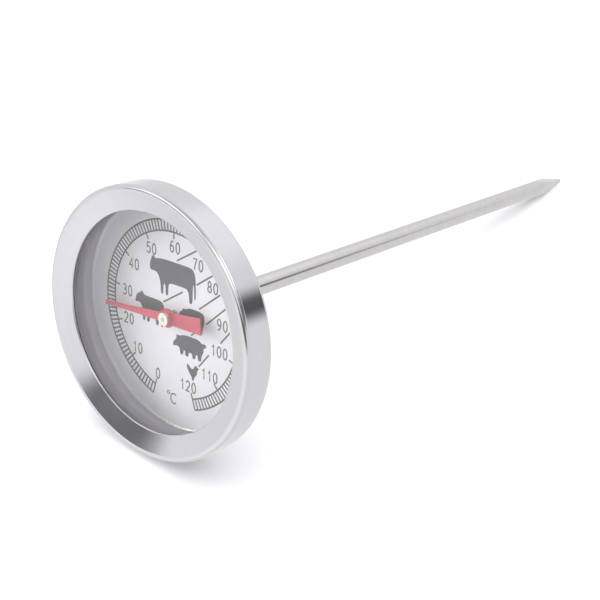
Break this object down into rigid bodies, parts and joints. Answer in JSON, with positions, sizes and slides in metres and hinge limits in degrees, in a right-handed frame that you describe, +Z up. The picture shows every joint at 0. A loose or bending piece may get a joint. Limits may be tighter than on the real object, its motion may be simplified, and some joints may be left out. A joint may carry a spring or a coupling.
{
  "type": "dial thermometer probe",
  "caption": "Round dial thermometer with a crimped metal case, a flat lens, a pointer over a printed scale, and a long straight stem with a blunt faceted tip.",
  "frame": {"origin": "centre of the base of the bounding box, on the table the instrument lies on", "axes": "+Z up; +Y the way the stem lies, from the dial to the tip; +X to the dial's right-hand side as its face is read from the front, whose own up is its 60 degree mark turned 6.3 degrees to the left"},
  "size_m": [0.0524, 0.1516, 0.0524],
  "materials": {
    "bezel_steel": "polished stainless steel",
    "case_steel": "drawn stainless steel, semi-bright",
    "lens_glass": "clear flat glass",
    "gasket_rubber": "matte",
    "dial_enamel": "white enamel on thin sheet",
    "bush_metal": "nickel plated",
    "ferrule_steel": "turned stainless steel",
    "stem_steel": "satin stainless steel",
    "guide_brass": "turned",
    "movement_steel": "drawn wire and turned steel",
    "bimetal_strip": "rolled two-metal strip",
    "pointer_paint": "red enamel",
    "hub_brass": "turned, pale plated"
  },
  "bodies": {
    "case": {"front_bezel": "bezel_steel", "lens_gasket": "gasket_rubber", "lens": "lens_glass", "rear_case": "case_steel", "dial_plate": "dial_enamel", "dial_bush": "bush_metal", "stem_ferrule": "ferrule_steel", "backing_washer": "ferrule_steel", "stem_tube": "stem_steel", "stem_tip": "stem_steel", "upper_guide_bush": "guide_brass", "middle_guide_bush": "guide_brass", "lower_guide_bush": "guide_brass", "coil_anchor": "movement_steel", "bimetal_coil": "bimetal_strip"},
    "pointer": {"pointer": "pointer_paint", "pointer_hub": "hub_brass", "pointer_shaft": "movement_steel", "shaft_coupling": "movement_steel"}
  },
  "joints": [
    {"name": "pointer_turn", "type": "hinge", "parent": "case", "child": "pointer", "pos_m": [0, -0.07129, 0.0268], "axis": [0, 0.9841, -0.1774], "range_deg": [-67.5, 256.5], "stiffness_Nm_per_rad": 0.0003, "deforming": ["bimetal_coil"]}
  ]
}
